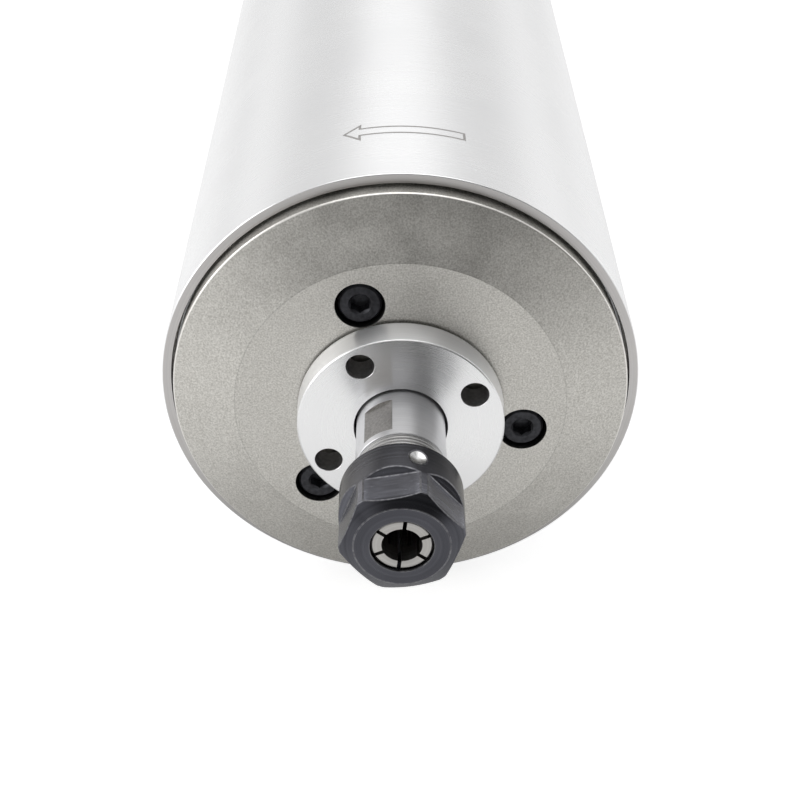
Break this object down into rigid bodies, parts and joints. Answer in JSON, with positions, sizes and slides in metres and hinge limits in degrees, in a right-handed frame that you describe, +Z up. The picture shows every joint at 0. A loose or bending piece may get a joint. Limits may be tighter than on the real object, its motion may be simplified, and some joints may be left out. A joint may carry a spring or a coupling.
{
  "type": "motor spindle",
  "caption": "Round water-cooled router spindle motor with a collet nose, spanner ring, hose nozzles and a power socket.",
  "frame": {"origin": "on the spindle axis, at the middle of the round body's length", "axes": "the nose points to -Y, +Z is up and +X is to the right of someone who faces the nose"},
  "size_m": [0.08, 0.2442, 0.08],
  "materials": {
    "stainless_tube": "satin",
    "blasted_steel": "bead blasted",
    "ground_steel": "ground",
    "turned_steel": "fine turned",
    "black_oxide": "black oxide, semi-matt",
    "cast_aluminium": "machined",
    "bearing_steel": "ground",
    "lamination": "stacked sheet",
    "copper_coil": "varnished copper",
    "seal_rubber": "matt",
    "nickel_plate": "bright nickel",
    "copper_washer": "plain copper",
    "insulator_plastic": "moulded",
    "gilt_contact": "gold flash",
    "spring_steel": "bright",
    "lead_sleeve": "sleeved",
    "cage_aluminium": "die cast"
  },
  "bodies": {
    "housing": {"housing_tube": "stainless_tube", "water_jacket": "cast_aluminium", "jacket_seals": "seal_rubber", "stator_core": "lamination", "stator_windings": "copper_coil", "front_bearing_housing": "cast_aluminium", "front_cover": "blasted_steel", "front_cover_screws": "black_oxide", "front_outer_races": "bearing_steel", "rear_bearing_housing": "cast_aluminium", "rear_outer_race": "bearing_steel", "preload_spring": "spring_steel", "rear_cover": "blasted_steel", "rear_cover_screws": "black_oxide", "water_inlet_nozzle": "nickel_plate", "water_outlet_nozzle": "nickel_plate", "nozzle_washers": "copper_washer", "socket_shell": "nickel_plate", "socket_nut": "nickel_plate", "socket_insulator": "insulator_plastic", "socket_pins": "gilt_contact", "phase_leads": "lead_sleeve"},
    "spindle": {"shaft": "ground_steel", "rotor_core": "lamination", "rotor_end_rings": "cage_aluminium", "lock_ring": "turned_steel", "front_inner_races": "bearing_steel", "rear_inner_race": "bearing_steel", "rear_lock_nut": "black_oxide"},
    "front_rolling": {"front_rolling_sets": "bearing_steel"},
    "rear_rolling": {"rear_rolling_set": "bearing_steel"},
    "collet": {"collet": "ground_steel"},
    "collet_nut": {"collet_nut": "black_oxide"}
  },
  "joints": [
    {"name": "spindle_turn", "type": "hinge", "parent": "housing", "child": "spindle", "pos_m": [0, 0, 0], "axis": [0, -1, 0], "continuous": true},
    {"name": "front_rolling_turn", "type": "hinge", "parent": "housing", "child": "front_rolling", "pos_m": [0, -0.07875, 0], "axis": [0, -1, 0], "continuous": true},
    {"name": "rear_rolling_turn", "type": "hinge", "parent": "housing", "child": "rear_rolling", "pos_m": [0, 0.05975, 0], "axis": [0, -1, 0], "continuous": true},
    {"name": "collet_draw", "type": "slide", "parent": "spindle", "child": "collet", "axis": [0, -1, 0], "range_m": [0, 0.0075]},
    {"name": "nut_turn", "type": "hinge", "parent": "collet", "child": "collet_nut", "pos_m": [0, -0.12495, 0], "axis": [0, -1, 0], "range_deg": [0, 3600]}
  ],
  "couplings": [
    {"joint": "front_rolling_turn", "follows": "spindle_turn", "ratio": 0.4168},
    {"joint": "rear_rolling_turn", "follows": "spindle_turn", "ratio": 0.408},
    {"joint": "nut_turn", "follows": "collet_draw", "rad_per_m": 8377.6}
  ]
}
